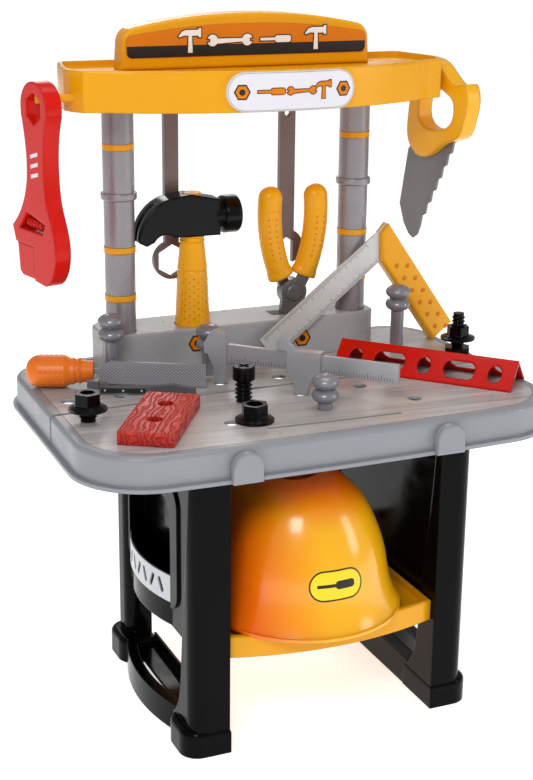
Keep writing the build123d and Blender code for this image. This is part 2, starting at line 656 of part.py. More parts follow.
def ring_spanner():
    x, y = LEFT_SPANNER
    ring_z = 445.5
    hole = Pos(0, ring_z) * Rot(0, 0, 30) * hexagon(31)
    return spanner(LEFT_SPANNER, 8, ring_z, 21) - slab(hole, 40, upright(x, y + 20, 0))


def open_spanner():
    x, y = RIGHT_SPANNER
    jaw_z = 450.0
    body = spanner(RIGHT_SPANNER, 9, jaw_z, 20)
    mouth = outline((-8, jaw_z - 30), (8, jaw_z - 30), (8, jaw_z + 6), (0, jaw_z + 11), (-8, jaw_z + 6))
    fork = outline((-4, 599), (0, 594), (4, 599), (4, BEAM_TOP + 40), (-4, BEAM_TOP + 40))
    return body - slab(mouth, 40, upright(x, y + 20, 0)) - slab(fork, 40, upright(x, y + 20, 0))


# ---- try square leaning in front of the right post
def square_plane():
    return upright(*SQUARE_AT, SQUARE_TURN)


def square_local(*points):
    return Pos(*SQUARE_CORNER) * Rot(0, 0, SQUARE_SLOPE) * outline(*points)


def square_stock():
    face = square_local((0, -1), (2.6, -15), (29, -33), (155, -32), (155, 0))
    stock = slab(face, 14, square_plane(), -7)
    stock = fillet(stock.faces().sort_by(Axis.Y)[0].edges(), 4)
    return stock - slab(square_local((-1, 1), (-1, -40), (31, -40), (31, 1)), 2.6, square_plane(), -1.3)


def square_blade():
    face = square_local((0, -1.5), (30, -1.5), (30, -200), (0, -200))
    return slab(face, 2.2, square_plane(), -1.1)


# ---- vernier calliper standing on its jaws
def calliper_plane():
    return upright(*CALLIPER_AT, CALLIPER_TURN)


def calliper_beam():
    bar = outline((2, 359), (197, 359), (197, 378), (2, 378))
    jaw = outline((-13, 366), (-5.5, 349), (-5.5, TABLE_Z + 0.2), (6.5, TABLE_Z + 0.2), (9, 352),
                  (9, 378), (6, 388), (-2, 393), (-9, 391), (-17, 378), (-17, 366))
    return slab(bar, 5, calliper_plane(), -2.5) + slab(jaw, 9, calliper_plane(), -4.5)


def calliper_slider():
    u = CALLIPER_REACH
    body = outline((u - 15, 356), (u + 22, 356), (u + 22, 381), (u - 15, 381))
    jaw = outline((u - 15, 357), (u - 6.5, 346), (u - 6.5, TABLE_Z + 0.2), (u + 7, TABLE_Z + 0.2),
                  (u + 10, 346), (u + 22, 357))
    fin = outline((u - 26, 380), (u - 6, 380), (u - 8, 386), (u - 15, 390), (u - 17, 397),
                  (u - 21, 397), (u - 26, 388))
    block_ = slab(body + jaw, 12, calliper_plane(), -6) + slab(fin, 4, calliper_plane(), 2)
    channel = outline((u - 60, 358.7), (u + 60, 358.7), (u + 60, 378.3), (u - 60, 378.3))
    return block_ - slab(channel, 5.6, calliper_plane(), -2.8)


# ---- file and slotted blade holder lying on the table
def file_plane():
    return upright(*FILE_END, FILE_TURN)


def file_handle():
    profile = make_face(
        Line((0, 0), (0, 5))
        + ThreePointArc((0, 5), (4.5, 13), (15, 17))
        + Polyline((15, 17), (40, 17), (46, 14), (50, 14), (52, 12.5), (54, 12.5), (56, 14),
                   (58, 12), (70, 10.5), (70, 0), (0, 0)))
    return file_plane().location * (Pos(0, FILE_Z, 0) * revolve(profile, Axis.X))


def file_blade():
    face = outline((70.3, FILE_Z - 3), (74, FILE_Z - 3), (84, FILE_Z - 13), (188, FILE_Z - 17),
                   (187, FILE_Z + 7), (88, FILE_Z + 10.5), (74, FILE_Z + 3), (70.3, FILE_Z + 3))
    return slab(face, 5, file_plane(), -2.5)


def blade_holder():
    low = TABLE_Z + 0.2
    bar = outline((8, low + 1), (112, low + 1), (112, low + 7), (88, low + 12), (62, low + 9),
                  (24, low + 8), (12, low + 13), (8, low + 13))
    fork = outline((0, low), (12, low), (12, low + 15), (0, low + 15))
    holder = slab(bar, 5, upright(*HOLDER_AT, HOLDER_TURN), -2.5)
    holder += slab(fork, 10, upright(*HOLDER_AT, HOLDER_TURN), -5)
    slot = outline((16, low + 3), (58, low + 3), (58, low + 6), (16, low + 6))
    return holder - slab(slot, 20, upright(*HOLDER_AT, HOLDER_TURN), -10)


# ---- plank and angle strip
def plank():
    length, width, height = PLANK_SIZE
    board = Pos(0, 0, height / 2) * Box(length, width, height)
    board = fillet(board.edges().filter_by(Axis.Z), 4)
    board = fillet(board.faces().sort_by(Axis.Z)[-1].edges(), 1.8)
    for x in (-22, 27):
        board -= rod(x, 0, -1, height + 1, 8)
    return Pos(*PLANK_CENTRE, TABLE_Z + 0.2) * Rot(0, 0, PLANK_TURN) * board


def angle_strip():
    z0, z1 = TABLE_Z + 0.2, TABLE_Z + STRIP_HEIGHT
    s, t = STRIP_SPREAD, 3.0
    section = Plane.YZ * outline((-s, z0), (0, z1), (s, z0), (s - t, z0), (0, z1 - t), (-s + t, z0))
    strip = extrude(section, STRIP_LENGTH)
    mid = (z0 + z1) / 2
    for i, length in enumerate((0, 20, 0, 20, 0)):
        x = 22 + i * 39.3
        hole = Circle(7.5) if not length else SlotCenterToCenter(length, 15)
        strip -= Pos(x, 0, mid - 1) * Rot(90, 0, 0) * extrude(hole, 40, both=True)
    return Pos(*STRIP_AT, 0) * Rot(0, 0, STRIP_TURN) * strip


# ---- wrench on the left hook
def wrench_plane():
    return upright(*WRENCH_AT, HANG_TURN)


def wrench_body():
    plane = wrench_plane()
    handle = make_face(
        Spline((-24, 620), (-17, 590), (-18, 548), (-34, 518), (-50, 503))
        + Polyline((-50, 503), (-44, 487), (-5, 487), (-6, 452), (16, 450))
        + Spline((16, 450), (33, 466), (37, 497), (24, 530), (19, 560), (20, 590), (28, 620))
        + Line((28, 620), (-24, 620)))
    face = handle + Pos(2, 626) * Circle(26)
    body = slab(face, WRENCH_THICK, plane, -WRENCH_THICK)
    body -= slab(Pos(2.4, HOOK_LEFT[1] - 8.8) * Rot(0, 0, 30) * hexagon(28), 60, plane, -30)
    window = outline((-19, 521), (19, 513), (13, 502), (-36, 502))
    body -= slab(window, 60, plane, -30)
    body -= plane.location * worm_rod(WORM_PIN_R + 0.06, 57)
    low, high = JAW_RAIL
    rail = outline((-80, low - 1), (14, low - 1), (14, high + 1.3), (-80, high + 1.3))
    return body - slab(rail, RAIL_THICK, plane, -(WRENCH_THICK + RAIL_THICK) / 2)


def wrench_jaw():
    plane = wrench_plane()
    low, high = JAW_RAIL
    rail = outline((-42, low + 0.5), (8, low + 0.5), (8, high), (-42, high))
    jaw = outline((-43, low - 1), (-40, 457), (-34, 453), (-8.5, 453), (-7, 486.4), (-42, 486.4))
    neck = outline((-40, 480), (-10, 480), (-10, low + 2), (-40, low + 2))
    runner = slab(rail, RAIL_THICK - 0.6, plane, 0.3 - (WRENCH_THICK + RAIL_THICK) / 2)
    runner += slab(neck, RAIL_THICK - 0.6, plane, 0.3 - (WRENCH_THICK + RAIL_THICK) / 2)
    return runner + slab(jaw, WRENCH_THICK - 3, plane, 1.5 - WRENCH_THICK)


def worm_rod(radius, length, shift=0.0):
    """A cylinder on the worm's axis, in the wrench's own plane."""
    place = Pos(WORM_AT[0] + shift, WORM_AT[1], -WRENCH_THICK / 2)
    return place * Rot(0, 90, 0) * Cylinder(radius, length)


def wrench_worm():
    barrel = worm_rod(4.2, 32) + worm_rod(WORM_PIN_R, 54)
    for i in range(5):
        barrel += worm_rod(6.2, 3, 6.5 * (i - 2))
    return wrench_plane().location * barrel


# ---- saw on the right hook
def saw_plane():
    return upright(*SAW_AT, HANG_TURN)


def saw_handle():
    outer = make_face(Spline(
        (-22, 654), (-8, 644), (3, 635), (12, 631.5), (23, 634), (29, 625), (27, 598), (18, 577),
        (-4, 567), (-20, 556), (-34, 549), (-50, 551), (-63, 565), (-65, 588), (-62, 612),
        (-54, 640), (-38, 657), periodic=True))
    hole = make_face(Spline(
        (8, 612), (9, 603), (6, 592), (-6, 583), (-20, 580.5), (-36, 582), (-46, 592), (-46, 612),
        (-42, 632), (-30, 640), (-12, 627), periodic=True))
    return slab(outer, SAW_THICK, saw_plane(), -SAW_THICK) - slab(
        hole, SAW_THICK + 2, saw_plane(), -SAW_THICK - 1)


def saw_blade():
    start, end, teeth = (8.0, 572.0), (-47.5, 467.0), 7
    dx, dz = (end[0] - start[0]) / teeth, (end[1] - start[1]) / teeth
    points = [(-40, 585), (8, 585)]
    for i in range(teeth):
        x, z = start[0] + dx * i, start[1] + dz * i
        points += [(x, z), (x - 5.5, z - 3)]
    points += [end, (-52, 456), (-58.6, 451), (-66, 455), (-74.6, 466), (-83, 488), (-71.4, 553)]
    blade = slab(outline(*points), 3, saw_plane(), -SAW_THICK / 2 - 1.5)
    return largest(blade - slab_cover())


def slab_cover():
    """The handle with its finger hole filled: the blade ends at its lower edge."""
    return saw_handle() + slab(Pos(-19, 612) * Circle(32), SAW_THICK, saw_plane(), -SAW_THICK)


# ---- write the sub-parts
save("tabletop", tabletop())
LABEL_FRONT, LABEL_REAR = table_labels()
save("table_label_front", LABEL_FRONT)
save("table_label_rear", LABEL_REAR)
save("table_clips", Compound(children=[table_clip(-109), table_clip(109)]))
LEFT_PANEL = side_panel()
LEFT_BAND = fret_band()
save("left_side_panel", LEFT_PANEL)
save("right_side_panel", mirrored(LEFT_PANEL))
save("left_fret_band", LEFT_BAND)
save("right_fret_band", mirrored(LEFT_BAND))
save("shelf", shelf())
save("hard_hat", hard_hat())
save("tool_rack", rack())
for name, side in (("left", -1), ("right", 1)):
    save(f"{name}_post_lower", post_lower(side))
    save(f"{name}_post_upper", post_upper(side))
    save(f"{name}_post_rings", post_rings(side))
save("beam", beam())
save("sign_board", sign_board())
save("sign_label", sign_label())
save("beam_plaque", plaque())
save("left_peg", peg(LEFT_PEG, 409))
save("middle_peg", peg(MIDDLE_PEG, 390))
save("right_peg", peg(RIGHT_PEG, 412))
save("front_peg", peg(FRONT_PEG, TABLE_Z + 37))
save("flanged_bolt", flanged_bolt())
save("cross_screw", cross_screw())
save("flange_nut", nut(*FLANGE_NUT, TABLE_Z + 0.2, 8.0, 19.5, 24, 17.5))
save("stood_bolt", stood_bolt())
save("stood_bolt_nut", nut(*STOOD_BOLT, TABLE_Z + 16, 7.9, 19.5, 22, 15))
save("hammer_handle", hammer_handle())
save("hammer_head", hammer_head())
RIGHT_JAW = pliers_half()
RIGHT_GRIP = pliers_grip()
save("pliers_right_jaw", RIGHT_JAW)
save("pliers_right_grip", RIGHT_GRIP)
save("pliers_left_jaw", half_turned(RIGHT_JAW))
save("pliers_left_grip", half_turned(RIGHT_GRIP))
save("pliers_pivot", pliers_pivot())
save("ring_spanner", ring_spanner())
save("open_spanner", open_spanner())
save("square_stock", square_stock())
save("square_blade", square_blade())
save("calliper_beam", calliper_beam())
save("calliper_slider", calliper_slider())
save("file_handle", file_handle())
save("file_blade", file_blade())
save("blade_holder", blade_holder())
save("plank", plank())
save("angle_strip", angle_strip())
save("wrench_body", wrench_body())
save("wrench_jaw", wrench_jaw())
save("wrench_worm", wrench_worm())
save("saw_handle", saw_handle())
save("saw_blade", saw_blade())
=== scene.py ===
import math

import bmesh
import bpy
from mathutils import Matrix, Vector, geometry


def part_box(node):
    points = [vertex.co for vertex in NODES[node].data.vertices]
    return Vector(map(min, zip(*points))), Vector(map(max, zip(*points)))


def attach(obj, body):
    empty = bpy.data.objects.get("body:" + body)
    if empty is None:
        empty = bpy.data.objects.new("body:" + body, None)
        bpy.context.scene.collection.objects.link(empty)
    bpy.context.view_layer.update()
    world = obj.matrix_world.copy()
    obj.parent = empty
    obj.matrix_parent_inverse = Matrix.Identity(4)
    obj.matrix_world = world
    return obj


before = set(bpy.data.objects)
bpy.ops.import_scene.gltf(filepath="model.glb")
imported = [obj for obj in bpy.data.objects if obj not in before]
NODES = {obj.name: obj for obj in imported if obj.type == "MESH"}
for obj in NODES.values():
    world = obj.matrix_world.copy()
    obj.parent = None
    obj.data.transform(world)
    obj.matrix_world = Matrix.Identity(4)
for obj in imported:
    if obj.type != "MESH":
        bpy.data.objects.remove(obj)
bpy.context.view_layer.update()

MM = 0.001
BENCH = "bench"

# Places of the pieces that carry prints and dots, in millimetres and degrees.
PLANK_TURN = 57.7
PLAQUE_X, PLAQUE_Z = 9, 641.4
NUT_PRINT_R = 8.6
RACK_PRINTS = ((-58, 361), (68, 354))
SIGN_ICON_Z = 684.2
HAT_AXIS = (-10.0, -79.0)
HAT_R = 88.0                 # radius that turns a distance round the hat into an angle
HAT_LABEL = (-92.7, 174.4)   # angle and height of the hat's label
HAMMER_AT = (-55.0, 117.0)
PLIERS_PIVOT = (67.6, 124.0, 401.6)
GRIP_DEPTH, GRIP_HALF_WIDTH = 11.85, 13.5
SQUARE_AT = (20.0, 83.0, 4.7)
SQUARE_CORNER, SQUARE_SLOPE = (152.5, 478.2), -54.0
CALLIPER_AT = (-56.5, 31.0, -45.6)
CALLIPER_SCALE_Z = 359.8
CALLIPER_SLIDER = (74, 116)  # the stretch of the scale under the slider
HOLDER_AT = (-198.0, 46.0, -24.0)
FILE_END, FILE_TURN = (-250, 92, 351.6), -21.5
WRENCH_AT = (-241.0, 66.0, -77.0)
FLOOR_HALF = 6

# ------------------------------------------------------------------ camera, floor and light


def set_camera():
    pitch, turn, roll = math.radians(17.698), math.radians(23.735), math.radians(0.634)
    ahead = Vector((math.sin(turn) * math.cos(pitch), math.cos(turn) * math.cos(pitch), -math.sin(pitch)))
    right = Vector((math.cos(turn), -math.sin(turn), 0))
    up = right.cross(ahead)
    side = math.cos(roll) * right + math.sin(roll) * up
    top = -math.sin(roll) * right + math.cos(roll) * up
    data = bpy.data.cameras.new("camera")
    data.lens = 70.94
    data.sensor_width = 36
    data.clip_start = 0.05
    data.clip_end = 30
    cam = bpy.data.objects.new("camera", data)
    cam.matrix_world = Matrix.Translation((-0.6375, -1.41235, 0.82281)) @ Matrix(
        (side, top, -ahead)
    ).transposed().to_4x4()
    bpy.context.collection.objects.link(cam)
    bpy.context.scene.camera = cam


def area_light(name, at, target, size, power):
    data = bpy.data.lights.new(name, "AREA")
    data.shape = "RECTANGLE"
    data.size, data.size_y = size
    data.energy = power
    lamp = bpy.data.objects.new(name, data)
    lamp.location = at
    lamp.rotation_euler = (Vector(target) - Vector(at)).to_track_quat("-Z", "Y").to_euler()
    bpy.context.collection.objects.link(lamp)


def set_studio():
    bpy.context.scene.view_settings.view_transform = "Standard"
    bpy.context.scene.view_settings.look = "None"
    world = bpy.data.worlds.new("studio")
    bpy.context.scene.world = world
    world.use_nodes = True
    tree = world.node_tree
    back = tree.nodes["Background"]
    back.inputs["Color"].default_value = (1.0, 1.0, 1.0, 1)
    back.inputs["Strength"].default_value = 0.4
    seen = tree.nodes.new("ShaderNodeBackground")
    seen.inputs["Color"].default_value = (1.0, 1.0, 1.0, 1)
    seen.inputs["Strength"].default_value = 1.0
    path = tree.nodes.new("ShaderNodeLightPath")
    both = tree.nodes.new("ShaderNodeMixShader")
    tree.links.new(path.outputs["Is Camera Ray"], both.inputs[0])
    tree.links.new(back.outputs[0], both.inputs[1])
    tree.links.new(seen.outputs[0], both.inputs[2])
    tree.links.new(both.outputs[0], tree.nodes["World Output"].inputs["Surface"])
    area_light("key", (-1.0, -1.5, 1.7), (0, 0, 0.35), (0.7, 0.7), 17)
    area_light("fill", (1.7, -1.2, 0.9), (0, 0, 0.35), (0.5, 0.9), 6.5)
    area_light("top", (0.1, 0.1, 2.0), (0, 0, 0.3), (0.9, 0.9), 6.5)
    area_light("rim", (0.6, 1.9, 1.4), (0, 0, 0.4), (1.0, 0.6), 7)


# ------------------------------------------------------------------ materials


def srgb(r, g, b):
    out = []
    for c in (r, g, b):
        c = c / 255
        out.append(c / 12.92 if c <= 0.04045 else ((c + 0.055) / 1.055) ** 2.4)
    return (*out, 1.0)


class Graph:
    """A material's node tree, with short calls for the nodes used here."""

    def __init__(self, name):
        self.mat = bpy.data.materials.new(name)
        self.mat.use_nodes = True
        self.tree = self.mat.node_tree
        self.shader = self.tree.nodes["Principled BSDF"]
        coord = self.tree.nodes.new("ShaderNodeTexCoord")
        self.where = coord.outputs["Object"]

    def node(self, kind, **values):
        made = self.tree.nodes.new(kind)
        for key, value in values.items():
            setattr(made, key, value)
        return made

    def link(self, a, b):
        self.tree.links.new(a, b)

    def mapped(self, scale=(1, 1, 1), turn=0.0, shift=(0, 0, 0), source=None):
        made = self.node("ShaderNodeMapping")
        made.inputs["Scale"].default_value = scale
        made.inputs["Rotation"].default_value = (0, 0, math.radians(turn))
        made.inputs["Location"].default_value = shift
        self.link(source or self.where, made.inputs["Vector"])
        return made.outputs["Vector"]

    def noise(self, scale, detail=3.0, rough=0.5, vector=None, distortion=0.0):
        made = self.node("ShaderNodeTexNoise")
        made.inputs["Scale"].default_value = scale
        made.inputs["Detail"].default_value = detail
        made.inputs["Roughness"].default_value = rough
        made.inputs["Distortion"].default_value = distortion
        self.link(vector or self.where, made.inputs["Vector"])
        return made.outputs["Fac"]

    def spread(self, value, low, high, from_low=0.3, from_high=0.7):
        made = self.node("ShaderNodeMapRange")
        made.inputs["From Min"].default_value = from_low
        made.inputs["From Max"].default_value = from_high
        made.inputs["To Min"].default_value = low
        made.inputs["To Max"].default_value = high
        self.link(value, made.inputs["Value"])
        return made.outputs["Result"]

    def math(self, operation, a, b):
        made = self.node("ShaderNodeMath", operation=operation)
        for i, value in enumerate((a, b)):
            if isinstance(value, (int, float)):
                made.inputs[i].default_value = value
            else:
                self.link(value, made.inputs[i])
        return made.outputs["Value"]

    def mix(self, factor, a, b):
        made = self.node("ShaderNodeMix", data_type="RGBA")
        self.link(factor, made.inputs["Factor"])
        for socket, value in (("A", a), ("B", b)):
            target = [i for i in made.inputs if i.name == socket and i.type == "RGBA"][0]
            if isinstance(value, tuple):
                target.default_value = value
            else:
                self.link(value, target)
        return [o for o in made.outputs if o.type == "RGBA"][0]

    def soft_edges(self, radius):
        made = self.node("ShaderNodeBevel", samples=4)
        made.inputs["Radius"].default_value = radius
        return made.outputs["Normal"]

    def bump(self, height, strength, distance, normal=None):
        made = self.node("ShaderNodeBump")
        made.inputs["Strength"].default_value = strength
        made.inputs["Distance"].default_value = distance
        self.link(height, made.inputs["Height"])
        if normal:
            self.link(normal, made.inputs["Normal"])
        return made.outputs["Normal"]


def shade(color, k):
    return (min(1.0, color[0] * k), min(1.0, color[1] * k), min(1.0, color[2] * k), 1.0)


def plastic(name, color, rough=0.3, grain=0.25, metal=0.0, coat=0.0, wear=0.05, edge=1.2, shine=0.5):
    """Moulded plastic: slow colour drift, handling marks in the gloss, and a fine moulded grain."""
    g = Graph(name)
    drift = g.spread(g.noise(9, 4), 0, 1)
    base = g.mix(drift, shade(color, 1 - wear), shade(color, 1 + wear))
    specks = g.spread(g.noise(420, 2), 0, 1, 0.66, 0.74)
    base = g.mix(g.math("MULTIPLY", specks, 0.35), base, shade(color, 0.8))
    g.link(base, g.shader.inputs["Base Color"])
    smears = g.noise(28, 5, 0.6, g.mapped((1, 1, 2.4)))
    g.link(g.spread(smears, rough - 0.06, rough + 0.09), g.shader.inputs["Roughness"])
    g.shader.inputs["Metallic"].default_value = metal
    g.shader.inputs["Specular IOR Level"].default_value = shine
    g.shader.inputs["Coat Weight"].default_value = coat
    g.shader.inputs["Coat Roughness"].default_value = 0.12
    normal = g.bump(g.noise(900, 2), grain, 0.0002, g.soft_edges(edge * MM))
    normal = g.bump(g.noise(55, 2), 0.25, 0.0004, normal)
    g.link(normal, g.shader.inputs["Normal"])
    return g.mat


def hat_shell(name, color, painted_shade_color):
    """The hat's plastic: yellow, with painted shade deepening it to orange-red on the left and on top."""
    g = Graph(name)
    where = g.node("ShaderNodeSeparateXYZ")
    g.link(g.mapped((1, 1, 1)), where.inputs[0])
    # painted shade: a mask rising towards the hat's left side and its top mixes the yellow into orange-red
    left = g.spread(where.outputs["X"], 1, 0, -0.088, -0.022)
    top = g.spread(where.outputs["Z"], 0, 1, 0.225, 0.262)
    painted_shade = g.math("MAXIMUM", left, top)
    drift = g.spread(g.noise(9, 4), 0, 1)
    base = g.mix(painted_shade, g.mix(drift, shade(color, 0.97), shade(color, 1.03)), painted_shade_color)
    g.link(base, g.shader.inputs["Base Color"])
    g.link(g.spread(g.noise(28, 5), 0.14, 0.27), g.shader.inputs["Roughness"])
    g.shader.inputs["Coat Weight"].default_value = 0.3
    g.shader.inputs["Coat Roughness"].default_value = 0.1
    normal = g.bump(g.noise(900, 2), 0.08, 0.0002, g.soft_edges(1.2 * MM))
    g.link(g.bump(g.noise(55, 2), 0.25, 0.0004, normal), g.shader.inputs["Normal"])
    return g.mat


def metallic_plastic(name, color, rough=0.36, flake=0.5):
    """Silver-pigmented plastic: tiny bright flakes and faint flow lines."""
    g = Graph(name)
    drift = g.spread(g.noise(12, 4, 0.6), 0, 1)
    base = g.mix(drift, shade(color, 0.9), shade(color, 1.08))
    flakes = g.spread(g.noise(1500, 1), 0, 1, 0.58, 0.7)
    base = g.mix(g.math("MULTIPLY", flakes, flake), base, shade(color, 1.5))
    g.link(base, g.shader.inputs["Base Color"])
    g.link(g.spread(g.noise(40, 4), rough - 0.07, rough + 0.08), g.shader.inputs["Roughness"])
    g.shader.inputs["Metallic"].default_value = 0.35
    normal = g.bump(g.noise(1200, 1), 0.2, 0.0001, g.soft_edges(0.9 * MM))
    normal = g.bump(g.noise(30, 3, 0.5, g.mapped((1, 1, 0.2))), 0.2, 0.0004, normal)
    g.link(normal, g.shader.inputs["Normal"])
    return g.mat


def printed_boards():
    """The tabletop's sheet: weathered grey boards printed under a clear gloss."""
    g = Graph("table_print_boards")
    along = g.mapped((1.0, 1.0, 1.0), 4)
    split = g.node("ShaderNodeSeparateXYZ")
    g.link(along, split.inputs["Vector"])
    board = g.math("MULTIPLY", split.outputs["Y"], 17.0)
    edge = g.math("ABSOLUTE", g.math("SUBTRACT", g.math("FRACT", board, 0), 0.5), 0)
    seam = g.spread(edge, 0, 1, 0.475, 0.492)
    number = g.math("FLOOR", board, 0)
    tone = g.node("ShaderNodeTexWhiteNoise", noise_dimensions="1D")
    g.link(number, tone.inputs["W"])
    shift = g.node("ShaderNodeCombineXYZ")
    g.link(g.math("MULTIPLY", tone.outputs["Value"], 7.0), shift.inputs["X"])
    place = g.node("ShaderNodeVectorMath", operation="ADD")
    g.link(along, place.inputs[0])
    g.link(shift.outputs["Vector"], place.inputs[1])
    stretched = g.mapped((3.0, 42.0, 1.0), 0, (0, 0, 0), place.outputs["Vector"])
    grain = g.noise(1.6, 6, 0.62, stretched, 0.7)
    fine = g.noise(7.0, 4, 0.7, stretched, 0.3)
    base = g.mix(g.spread(grain, 0, 1, 0.34, 0.66), srgb(160, 158, 158), srgb(194, 192, 192))
    warm = g.spread(g.noise(5.0, 3, 0.5, g.mapped((1.0, 3.0, 1.0))), 0, 0.55, 0.45, 0.75)
    base = g.mix(warm, base, srgb(192, 176, 166))
    base = g.mix(g.spread(fine, 0, 0.35, 0.5, 0.75), base, srgb(136, 132, 130))
    base = g.mix(g.math("MULTIPLY", tone.outputs["Value"], 0.22), base, srgb(168, 168, 171))
    base = g.mix(g.math("MULTIPLY", seam, 0.55), base, srgb(118, 114, 112))
    g.link(base, g.shader.inputs["Base Color"])
    g.link(g.spread(g.noise(22, 5), 0.26, 0.38), g.shader.inputs["Roughness"])
    normal = g.bump(g.noise(34, 3), 0.2, 0.0005)
    normal = g.bump(g.noise(800, 1), 0.1, 0.0001, normal)
    g.link(normal, g.shader.inputs["Normal"])
    g.shader.inputs["Coat Weight"].default_value = 0.15
    g.shader.inputs["Coat Roughness"].default_value = 0.16
    return g.mat


def file_cut():
    """The file's face: two sets of fine crossing cuts, with painted shade darkening the grey down in the
    cuts.
    """
    g = Graph("file_cut")
    turned = g.mapped((1, 1, 1), 0)
    heights = []
    for axis in ((1.0, 0.4, 1.0), (1.0, 0.4, -1.0)):
        wave = g.node("ShaderNodeTexWave", wave_type="BANDS", bands_direction="X")
        combine = g.node("ShaderNodeVectorMath", operation="DOT_PRODUCT")
        combine.inputs[1].default_value = axis
        g.link(turned, combine.inputs[0])
        place = g.node("ShaderNodeCombineXYZ")
        g.link(combine.outputs["Value"], place.inputs["X"])
        wave.inputs["Scale"].default_value = 105
        wave.inputs["Distortion"].default_value = 0.6
        g.link(place.outputs["Vector"], wave.inputs["Vector"])
        heights.append(wave.outputs["Fac"])
    cuts = g.math("MULTIPLY", heights[0], heights[1])
    # painted shade: the cut height darkens the grey down in the cuts and leaves it lighter on the ridges
    base = g.mix(cuts, srgb(142, 142, 150), srgb(200, 200, 206))
    base = g.mix(g.spread(g.noise(14, 4), 0, 0.3), base, srgb(152, 152, 158))
    g.link(base, g.shader.inputs["Base Color"])
    g.link(g.spread(g.noise(30, 3), 0.38, 0.52), g.shader.inputs["Roughness"])
    g.shader.inputs["Metallic"].default_value = 0.3
    g.link(g.bump(cuts, 0.55, 0.0005), g.shader.inputs["Normal"])
    return g.mat


def moulded_wood(name, color, turn):
    """Coloured plastic moulded with the grain of a plank along its length."""
    g = Graph(name)
    along = g.mapped((9.0, 26.0, 26.0), 0, (0, 0, 0), g.mapped((1, 1, 1), -turn))
    wave = g.node("ShaderNodeTexWave", wave_type="BANDS", bands_direction="Y", wave_profile="SIN")
    wave.inputs["Scale"].default_value = 1.9
    wave.inputs["Distortion"].default_value = 8.0
    wave.inputs["Detail"].default_value = 1.2
    wave.inputs["Detail Scale"].default_value = 2.4
    g.link(along, wave.inputs["Vector"])
    grain = g.spread(wave.outputs["Fac"], 0, 1, 0.1, 0.55)
    base = g.mix(grain, shade(color, 0.85), shade(color, 1.04))
    g.link(base, g.shader.inputs["Base Color"])
    g.link(g.spread(grain, 0.5, 0.34), g.shader.inputs["Roughness"])
    g.link(g.bump(grain, 1.0, 0.0016, g.soft_edges(3.0 * MM)), g.shader.inputs["Normal"])
    return g.mat


YELLOW = srgb(232, 162, 8)
GREY = srgb(141, 144, 150)
MATS = {
    "bench_grey": plastic("grey_plastic", GREY, 0.32, 0.2, wear=0.035),
    "rack_grey": plastic("rack_plastic", srgb(170, 170, 172), 0.3, 0.2, wear=0.05),
    "post_grey": metallic_plastic("post_plastic", srgb(146, 143, 148), 0.3, 0.25),
    "peg_grey": metallic_plastic("peg_plastic", srgb(140, 140, 148), 0.28, 0.3),
    "calliper_grey": metallic_plastic("calliper_plastic", srgb(172, 172, 178), 0.36, 0.3),
    "boards": printed_boards(),
    "black": plastic("black_plastic", srgb(5, 4, 6), 0.14, 0.08, wear=0.2, edge=2.5, shine=0.08),
    "bolt_black": plastic("bolt_plastic", srgb(7, 6, 8), 0.18, 0.15, wear=0.2, edge=1.6, shine=0.16),
    "band_silver": metallic_plastic("band_plastic", srgb(196, 199, 203), 0.3, 0.2),
    "yellow": plastic("yellow_plastic", YELLOW, 0.22, 0.1, coat=0.05, wear=0.03, edge=2.6, shine=0.28),
    # the hat's second colour is the orange-red of its painted shade
    "hat": hat_shell("hat_plastic", srgb(252, 182, 20), srgb(255, 112, 8)),
    "tool_yellow": plastic("tool_plastic", srgb(244, 170, 14), 0.26, 0.15, wear=0.04, edge=2.2, shine=0.3),
    "saw_yellow": plastic("saw_plastic", srgb(244, 176, 20), 0.2, 0.1, wear=0.04, edge=6.0, shine=0.35),
    "hammer_black": plastic("hammer_plastic", srgb(8, 7, 9), 0.16, 0.1, wear=0.2, edge=4.5, shine=0.2),
    "orange": plastic("orange_plastic", srgb(242, 122, 28), 0.3, 0.2, wear=0.05, shine=0.35),
    "red": plastic("red_plastic", srgb(208, 22, 12), 0.2, 0.12, wear=0.05, edge=3.5, shine=0.2),
    "plank_red": moulded_wood("plank_plastic", srgb(200, 40, 24), PLANK_TURN),
    "steel": metallic_plastic("spanner_plastic", srgb(116, 98, 96), 0.32, 0.3),
    "blade_steel": metallic_plastic("blade_plastic", srgb(118, 114, 114), 0.36, 0.3),
    "jaw_steel": metallic_plastic("jaw_plastic", srgb(116, 112, 112), 0.32, 0.3),
    "rule": metallic_plastic("rule_plastic", srgb(206, 206, 204), 0.4, 0.25),
    "file": file_cut(),
    "holder": plastic("holder_plastic", srgb(92, 92, 98), 0.3, 0.3, wear=0.08),
    "ink": plastic("print_ink", srgb(22, 18, 18), 0.35, 0.1, wear=0.1),
    "ink_grey": plastic("print_grey", srgb(80, 80, 86), 0.4, 0.1, wear=0.1),
    "white": plastic("print_white", srgb(246, 244, 242), 0.3, 0.1, wear=0.02),
    "plaque": plastic("plaque_white", srgb(226, 224, 230), 0.3, 0.1, wear=0.02),
    "print_orange": plastic("print_orange", srgb(222, 124, 12), 0.28, 0.1, wear=0.04, shine=0.2),
    "print_yellow": plastic("print_yellow", srgb(252, 220, 30), 0.3, 0.1, wear=0.03),
}

